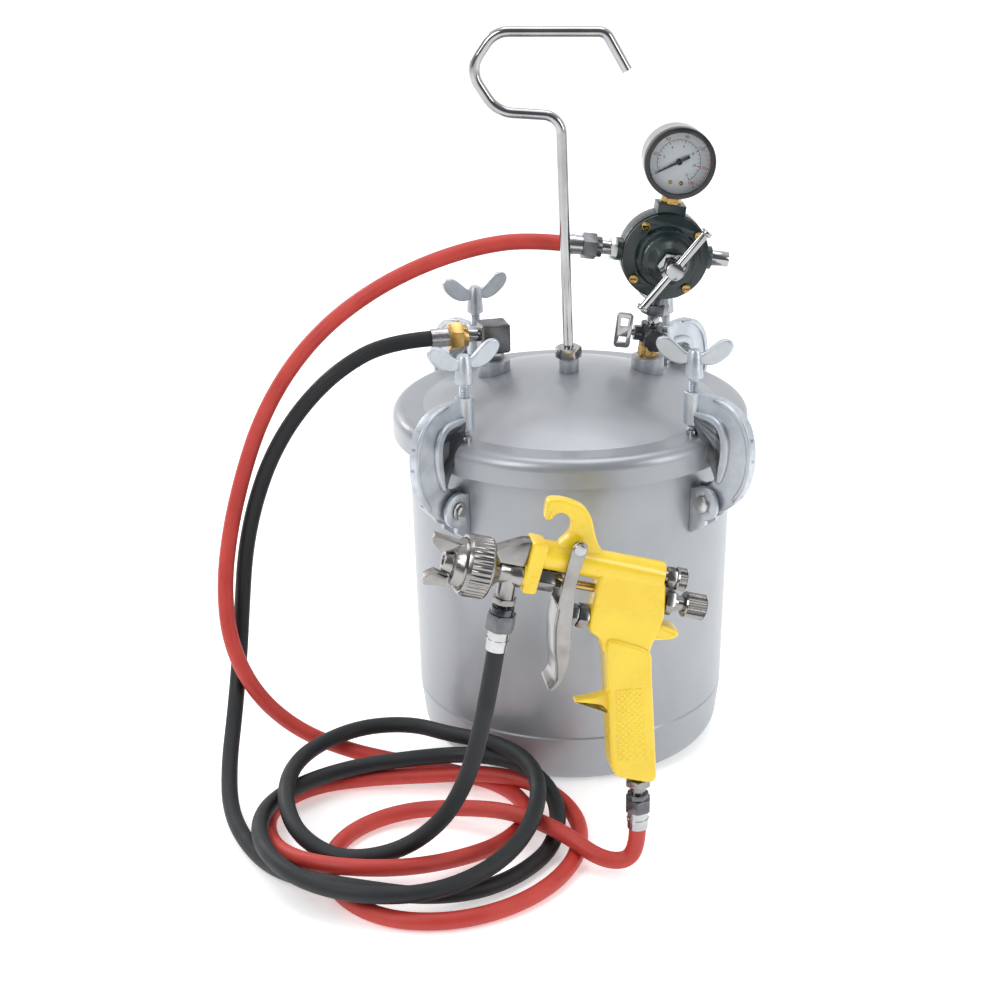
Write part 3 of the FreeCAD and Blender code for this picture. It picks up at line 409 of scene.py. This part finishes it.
# ---- gun knobs and ring ----------------------------------------------------
# The air cap ring and the two adjusting knobs are turned from bar, knurled where fingers hold
# them and nickel plated.
draw("gun_cap_ring", [lathe(
    [(24, 15.6), (23, 19.5), (24, 20.9), (25, 21.3), (25.2, 21.3), (38.8, 21.3), (39, 21.3), (40.5, 20.6),
     (41.5, 20), (41.5, 18.2), (38.5, 18.2), (38.5, 19.2), (27, 19.2), (27, 15.6), (24, 15.6)],
    (-31, needle_axis, 0), (-1, 0, 0), 216, 36, 0.8, (25.1, 38.9))], gun, nickel)
draw("gun_fan_knob", [
    lathe([(0, 0), (0, 7.2), (1, 8), (1.1, 8), (6.6, 8), (6.7, 8), (7.7, 7), (7.7, 0)],
          (75.8, barrel_axis, 0), (1, 0, 0), 144, 24, 0.7, (1.05, 6.65)),
    lathe([(0, 0), (0, 2.5), (12, 2.5), (12, 0)], (65, barrel_axis, 0), (1, 0, 0))], gun, nickel)
draw("gun_fluid_knob", [
    lathe([(0, 0), (0, 8.2), (1, 9), (1.1, 9), (14.9, 9), (15, 9), (16, 8), (16, 0)],
          (87, needle_axis, 0), (1, 0, 0), 168, 28, 0.8, (1.05, 14.95)),
    lathe([(0, 0), (0, 5.2), (6, 5.2), (6, 0)], (82, needle_axis, 0), (1, 0, 0)),
    lathe([(0, 0), (0, 3.4), (24, 3.4), (24, 0)], (60, needle_axis, 0), (1, 0, 0))], gun, nickel)

# ---- gun fittings ----------------------------------------------------------
# Nuts, bushings, the cast fluid head and the air cap: machined or cast pieces whose edges were
# broken before they were nickel plated.
for node, width in {
        "gun_head": 0.7, "gun_air_cap": 0.5, "gun_packing_nut": 0.4, "gun_air_valve_nut": 0.4,
        "gun_knob_bushings": 0.4, "gun_air_nipple": 0.4, "gun_trigger_pin": 0.4}.items():
    eased(node, width)

# ---- clamps ----------------------------------------------------------------
# Four swing clamps hold the lid: a malleable iron C arm with a rolled rim and a rib, cast round
# a threaded sleeve, and a cast wing screw that presses a pad on the lid. All zinc plated.
arm_web = [
    (134, 221), (141, 219.5), (152, 223), (165, 233), (174, 247), (178, 262), (178.5, 278),
    (175, 294), (168, 304), (157, 310.5), (142, 313), (122, 313), (122, 292), (140, 292.5),
    (147, 289), (150, 281), (150, 271), (148, 258), (144, 246), (134, 237.5)]
arm_rib = [
    (148, 258), (150, 271), (150, 281), (147, 289), (140, 292.5), (122, 292), (122, 299), (143, 299.5),
    (153, 295), (158, 285), (158.5, 270), (156, 257), (151, 245.5), (145.5, 248)]
arm_edge = [
    (165, 233), (174, 247), (178, 262), (178.5, 278), (175, 294), (168, 304), (157, 310.5), (142, 313),
    (142, 309), (155, 307), (164.5, 300.5), (171, 291.5), (174.5, 277), (174, 263), (170, 249), (161.5,
    236)]
lobe = [
    (2, 336), (10, 333), (19, 336), (27, 343), (29.5, 349), (27, 354), (20, 354.5), (13, 349), (7, 343),
    (2, 342)]
arm_plane, wing_plane = (0, 2, 1), (1, 2, 0)
screw_line, pivot_line, pivot_height = 122, 139, 229
wing_turns = {"front_left": 68.0, "front_right": 121.0, "back_left": -12.0, "back_right": 75.0}
pitch, root, crest = 1.25, 3.35, 3.95
thread = [(282.9, 2.6), (283.1, 3.3)]
for turn in range(31):
    thread += [(283.4 + pitch * turn, root), (284.0 + pitch * turn, crest)]
for corner, place in clamp_at.items():
    draw("clamp_arm_" + corner, [
        plate(rounded(arm_web, 7.0), -2.6, 2.6, 0.9, arm_plane),
        plate(rounded(arm_rib, 6.0), -5.5, 5.5, 1.8, arm_plane),
        plate(rounded(arm_edge, 6.0), -4.2, 4.2, 1.2, arm_plane),
        lathe([(-4.6, 4.06), (-4.6, 8.7), (-3.8, 9.5), (3.8, 9.5), (4.6, 8.7), (4.6, 4.06)],
              (pivot_line, 0, pivot_height), (0, 1, 0)),
        lathe([(287.1, 4.06), (287.1, 6.4), (287.9, 7.2), (312.2, 7.2), (313, 6.4), (313, 4.06)],
              (screw_line, 0, 0), (0, 0, 1))], place, zinc_casting)
    turn = math.radians(wing_turns[corner])
    spin = np.eye(4)
    spin[:2, :2] = [[math.cos(turn), -math.sin(turn)], [math.sin(turn), math.cos(turn)]]
    spin[:3, 3] = place[:3, 3] + place[:3, :3] @ (np.array([screw_line, 0, 0]) * mm)
    spin[:3, :3] = place[:3, :3] @ spin[:3, :3]
    left = np.array([(-y, z) for y, z in lobe])
    draw("clamp_screw_" + corner, [
        plate(rounded(lobe, 4.0), -2.2, 2.2, 1.3, wing_plane),
        plate(rounded(left, 4.0), -2.2, 2.2, 1.3, wing_plane),
        lathe(
            [(323, 0), (323, 6.0), (323.9, 7.0), (343, 5.1), (345, 3.9), (345.6, 0)], (0, 0, 0), (0, 0, 1)
        ),
        lathe(thread + [(323.2, 3.9), (323.2, 0)], (0, 0, 0), (0, 0, 1), 32),
        lathe([(280.6, 0), (280.6, 2.6), (283, 2.6), (283, 0)], (0, 0, 0), (0, 0, 1), 32)], spin,
        zinc_casting)
eased("clamp_brackets", 0.7)
eased("clamp_pins", 0.4)

# ---- gauge -----------------------------------------------------------------
# A 55 mm dial gauge: a pressed black bezel, a pale printed dial with a red scale outside and a
# black one inside, two brass dial screws and a black pointer behind glass.
dial_paint = surface(
    "dial enamel", ((0.80, 0.86, 0.90), (0.84, 0.89, 0.92)), (0.35, 0.45), 0.0, 70.0, 0.05, 0.05)
red_ink = surface("red ink", ((0.55, 0.05, 0.04), (0.62, 0.07, 0.06)), (0.5, 0.6), 0.0, 70.0, 0.03, 0.03)
black_ink = surface(
    "black ink", ((0.02, 0.02, 0.02), (0.04, 0.04, 0.04)), (0.5, 0.6), 0.0, 70.0, 0.03, 0.03)
for place in frame["nodes"]["gauge_dial"].material_slots:
    place.material = dial_paint
zero_turn, sweep = -122.0, pointer["range_deg"][1]
dial_level, tick_rise, line_rise, figure_rise = -6.0, 0.12, 0.1, 0.06


def dial_spot(turn, radius, level=dial_level):
    """Place on the dial at an angle clockwise from its top, in the stack's millimetres."""
    a = math.radians(turn)
    return np.array([radius * math.sin(a), level, gauge_height + radius * math.cos(a)])


def ticks(inner, outer, wide, count):
    """Radial bars that stand off the dial, one for each of count equal steps and one at zero."""
    shells = []
    for k in range(count + 1):
        turn = zero_turn + sweep * k / count
        centre, points = dial_spot(turn, 0), []
        out, side = dial_spot(turn, 1) - centre, dial_spot(turn + 90, 1) - centre
        for lift in (0.0, -tick_rise):
            for radius, half in ((inner, -wide), (inner, wide), (outer, wide), (outer, -wide)):
                points.append(centre + out * radius + side * half / 2 + np.array([0, lift, 0]))
        shells.append((np.array(points), [
            (0, 1, 2, 3), (7, 6, 5, 4), (0, 4, 5, 1), (1, 5, 6, 2), (2, 6, 7, 3), (3, 7, 4, 0)]))
    return shells


def arc_line(radius, wide, steps=96):
    """A flat band along the scale that stands off the dial."""
    points, faces = [], []
    for k in range(steps + 1):
        turn = zero_turn + sweep * k / steps
        for r, lift in (
                (radius, 0), (radius + wide, 0), (radius + wide, -line_rise), (radius, -line_rise)):
            points.append(dial_spot(turn, r, dial_level + lift))
    for k in range(steps):
        for c in range(4):
            n = (c + 1) % 4
            faces.append((4 * k + c, 4 * k + n, 4 * k + 4 + n, 4 * k + 4 + c))
    faces += [(0, 1, 2, 3), (4 * steps + 3, 4 * steps + 2, 4 * steps + 1, 4 * steps)]
    return np.array(points), faces


def figures(words, radius, size):
    """Figures set round the dial: each is meshed from the plain built-in font, then laid upright."""
    shells = []
    for k, word in enumerate(words):
        line = bpy.data.curves.new("figure", "FONT")
        line.body, line.size, line.extrude = word, size, figure_rise
        line.align_x, line.align_y = "CENTER", "CENTER"
        carrier = bpy.data.objects.new("figure", line)
        scene.collection.objects.link(carrier)
        bpy.context.view_layer.update()
        shown = carrier.evaluated_get(bpy.context.evaluated_depsgraph_get())
        flat = bpy.data.meshes.new_from_object(shown)
        centre = dial_spot(zero_turn + sweep * k / (len(words) - 1), radius)
        points = [centre + np.array([v.co.x, -figure_rise - v.co.z, v.co.y]) for v in flat.vertices]
        shells.append((np.array(points), [tuple(p.vertices) for p in flat.polygons]))
        bpy.data.objects.remove(carrier)
        bpy.data.curves.remove(line)
        bpy.data.meshes.remove(flat)
    return shells


red_line, black_line = 24.3, 16.7
red_scale = ticks(22.2, red_line, 0.28, 30) + ticks(21.6, red_line, 0.5, 6) + [arc_line(red_line, 0.35)]
red_scale += figures(["0", "30", "60", "90", "120", "150", "180"], 19.4, 3.6)
black_scale = ticks(15.2, black_line, 0.28, 24) + ticks(14.6, black_line, 0.5, 6)
black_scale += [arc_line(black_line, 0.3)] + figures(["0", "2", "4", "6", "8", "10", "12"], 12.2, 3.0)
screw_head, screw_drop = [(-0.1, 0), (0, 1.7), (0.5, 1.6), (0.9, 1.0), (1.0, 0)], 16.4
dial_screws = [
    lathe(screw_head, (x, dial_level, gauge_height - screw_drop), (0, -1, 0), 24) for x in (-4.2, 4.2)]
draw("gauge_dial", red_scale, stack, red_ink, name="gauge_red_scale")
draw("gauge_dial", black_scale, stack, black_ink, name="gauge_black_scale")
draw("gauge_dial", dial_screws, stack, brass, name="gauge_dial_screws")

# ---- cast and turned pieces ------------------------------------------------
# The regulator castings, the cross, the elbow and every nut keep their shapes; only their edges
# are broken, as a file or a tumbling barrel leaves them.
for node, width in {
        "regulator_body": 1.2, "regulator_bonnet": 1.0, "inlet_cross": 0.7, "outlet_elbow": 0.9,
        "fluid_outlet_nut": 0.4, "hose_nuts": 0.4, "union_nut": 0.4, "lock_nuts": 0.5,
        "inlet_nipple": 0.4,
        "gauge_stem": 0.4, "relief_ring": 0.5, "vent_knob": 0.7, "adjusting_bar": 0.5,
        "adjusting_screw": 0.4,
        "lid_bosses": 0.6, "bonnet_screws": 0.3, "gauge_bezel": 0.5, "pipe_nipples": 0.3}.items():
    eased(node, width)


# ---- hoses -----------------------------------------------------------------
# Two extruded rubber hoses, 12.5 mm outside: black for fluid and red for air. Each leaves its
# swivel fitting level with the lid, falls to the floor left of the pot, lies there in two loose
# turns and climbs to the gun. Matt rubber with the faint cloth mark of its wrapped cure.
hose_diameter = 12.5 * mm
fluid_route = [
    (-109.04, 1.08, 328.5),
    (-142.6, -8.5, 328.5), (-180, -16, 309), (-211, -20, 278), (-234, -24, 242), (-249, -30, 203),
    (-258, -37, 163), (-261, -48, 123), (-263, -66, 82), (-264, -96, 50), (-264, -133, 27),
    (-258, -174, 11), (-241, -214, 7), (-217, -251, 8), (-187, -282, 17), (-148, -301, 22),
    (-104, -301, 15), (-63, -285, 9), (-31, -255, 7), (-10, -216, 7), (-9, -174, 21),
    (-37, -142, 34), (-79, -128, 33), (-123, -123, 26), (-167, -127, 21), (-206, -147, 18),
    (-228, -185, 21), (-229, -229, 23), (-212, -270, 24), (-180, -301, 24), (-138, -315, 24),
    (-95, -309, 23), (-58, -284, 25), (-33, -248, 30), (-22, -205, 38), (-28, -162, 43),
    (-57, -130, 44), (-93, -107, 38), (-127, -79, 33), (-168, -81, 31), (-200, -112, 31),
    (-214, -153, 33), (-213, -197, 30), (-197, -237, 24), (-164, -261, 19), (-123, -254, 22),
    (-92, -252, 45), (-74, -257, 80), (-64, -264, 118), (-56.5, -269.8, 155.5),
    (-50.57, -268.57, 191.0)]
air_route = [
    (-4.78, 13.43, 401.45),
    (
        -35.3, 9.65, 405.5
    ), (-74, 3, 401), (-115, -5, 389), (-155, -11, 369), (-191, -17, 342), (-220, -22, 308),
    (-242, -27, 269), (-257, -33, 227), (-268, -42, 184), (-273, -56, 142), (-268, -75, 102),
    (-248, -89, 64), (-216, -89, 32), (-175, -88, 13), (-131, -96, 7), (-88, -112, 7),
    (-49, -133, 7), (-28, -175, 7), (-47, -216, 7), (-80, -247, 12), (-119, -271, 19),
    (-164, -276, 23), (-203, -254, 18), (-224, -214, 10), (-229, -168, 7), (-201, -133, 7),
    (-156, -124, 9), (-111, -127, 13), (-65, -133, 19), (-22, -146, 16), (6, -181, 10),
    (8, -226, 7), (-9, -269, 7), (-40, -302, 7), (-82, -321, 7), (-128, -318, 7),
    (-163, -289, 7), (-178, -245, 7), (-166, -201, 7), (-129, -174, 9), (-83, -177, 14),
    (-42, -197, 22), (-6, -227, 23), (20, -246, 12), (40, -248.5, 10.5), (48.29, -247.55, 23),
    (48.29, -247.55, 39.6)]


def hose(name, route, node, finish):
    """One NURBS spline whose control points are the route, with a round bevel."""
    line = bpy.data.curves.new(name, "CURVE")
    line.dimensions = "3D"
    spline = line.splines.new("NURBS")
    spline.points.add(len(route) - 1)
    for point, place in zip(spline.points, route):
        point.co = (*(c * mm for c in place), 1.0)
    spline.order_u = 3
    spline.use_endpoint_u = True
    line.resolution_u = 8
    line.bevel_depth = hose_diameter / 2
    line.bevel_resolution = 7
    line.use_fill_caps = True
    line.materials.append(finish)
    piece = bpy.data.objects.new(name, line)
    scene.collection.objects.link(piece)
    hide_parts(node)
    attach(piece, "pot")


hose(
    "fluid_line", fluid_route, "fluid_hose", black_rubber)
hose("air_line", air_route, "air_hose", red_rubber)

# ---- floor and light -------------------------------------------------------
# A pale matt table that runs on well past the pot, lit by soft boxes from the front left and
# right and from above, with a white room around.
floor_mesh = bpy.data.meshes.new("floor")
reach = 6.0
floor_mesh.from_pydata(
    [(-reach, -reach, 0), (reach, -reach, 0), (reach, reach, 0), (-reach, reach, 0)], [], [(0, 1, 2, 3)])
floor = bpy.data.objects.new("floor", floor_mesh)
scene.collection.objects.link(floor)
table = bpy.data.materials.new("pale table")
table.use_nodes = True
table_shader = table.node_tree.nodes["Principled BSDF"]
for socket, value in {
        "Base Color": (0.93, 0.93, 0.925, 1), "Roughness": 0.75, "Emission Color": (1, 1, 1, 1),
        "Emission Strength": 0.38}.items():
    table_shader.inputs[socket].default_value = value
floor_mesh.materials.append(table)


def soft_box(name, place, aim, size, watts):
    """A rectangular area light at place, turned so that it shines at aim."""
    lamp = bpy.data.lights.new(name, "AREA")
    lamp.shape, lamp.size, lamp.size_y = "RECTANGLE", size[0], size[1]
    lamp.energy = watts
    box = bpy.data.objects.new(name, lamp)
    scene.collection.objects.link(box)
    box.location = place
    away = np.array(place, float) - np.array(aim, float)
    tilt, heading = math.atan2(math.hypot(away[0], away[1]), away[2]), math.atan2(away[0], -away[1])
    box.rotation_euler = (tilt, 0, heading)


soft_box("key", (-1.3, -1.5, 1.7), (0, 0, 0.22), (0.8, 1.4), 22)
soft_box("fill", (1.8, -1.0, 1.1), (0, 0, 0.2), (0.6, 1.3), 13)
soft_box("top", (0.1, 0.3, 2.3), (0, 0, 0), (1.4, 1.4), 15)
soft_box("rim", (-1.6, 1.4, 1.3), (0, 0, 0.3), (0.6, 1.2), 12)

# The room is white behind and above the pot and darker on the viewer's side, so that plated
# metal has something dark to mirror.
world = bpy.data.worlds.new("white room")
scene.world = world
world.use_nodes = True
room, link = world.node_tree.nodes, world.node_tree.links.new
facing, split = room.new("ShaderNodeTexCoord"), room.new("ShaderNodeSeparateXYZ")
shade = room.new("ShaderNodeValToRGB")
shift = room.new("ShaderNodeMapRange")
shift.inputs["From Min"].default_value = -1.0
link(facing.outputs["Generated"], split.inputs["Vector"])
link(split.outputs["Y"], shift.inputs["Value"])
link(shift.outputs["Result"], shade.inputs["Fac"])
shade.color_ramp.elements[0].position = 0.18
shade.color_ramp.elements[0].color = (0.16, 0.17, 0.19, 1)
shade.color_ramp.elements[1].position = 0.62
shade.color_ramp.elements[1].color = (1, 1, 1, 1)
link(shade.outputs["Color"], room["Background"].inputs["Color"])
room["Background"].inputs["Strength"].default_value = 1.0
scene.view_settings.view_transform = "Standard"
